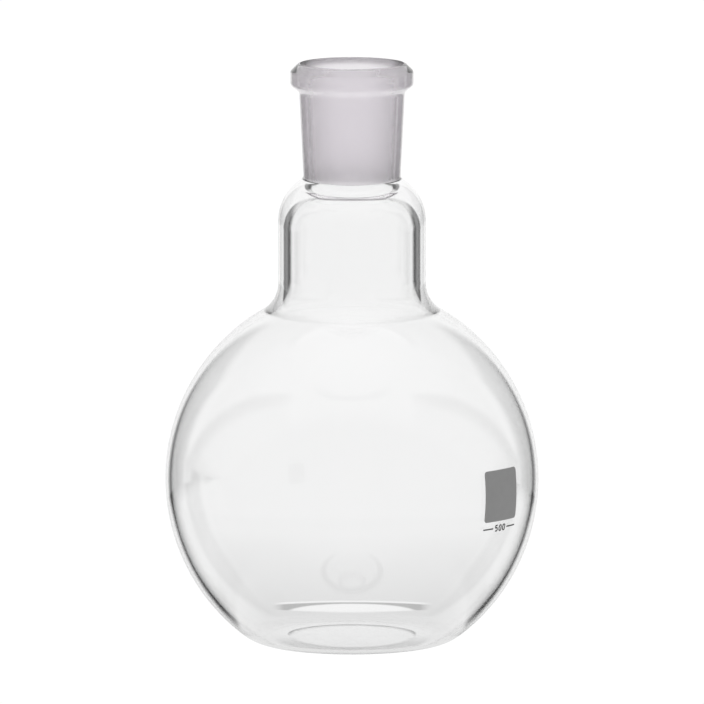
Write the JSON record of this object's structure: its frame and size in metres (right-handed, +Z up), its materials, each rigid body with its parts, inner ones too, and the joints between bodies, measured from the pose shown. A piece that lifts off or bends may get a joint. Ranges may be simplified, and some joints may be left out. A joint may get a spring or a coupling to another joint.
{
  "type": "flat-bottomed boiling flask",
  "caption": "Round glass boiling flask with a flat base, a thick straight neck with a rounded shoulder, a conical ground socket with a collar, and a grey enamel writing patch.",
  "frame": {"origin": "centre of the base, on the surface that the flask stands on", "axes": "+Z up along the flask's axis through the neck and socket; -Y is the front; the enamel marks are 53.3 degrees from the front towards +X"},
  "size_m": [0.105, 0.105, 0.164],
  "materials": {
    "clear_glass": "polished",
    "ground_glass": "ground",
    "patch_enamel": "matt",
    "figure_enamel": "matt"
  },
  "bodies": {
    "root": {"bulb": "clear_glass", "neck": "clear_glass", "ground_socket": "ground_glass", "writing_patch": "patch_enamel", "capacity_mark": "figure_enamel"}
  },
  "joints": []
}
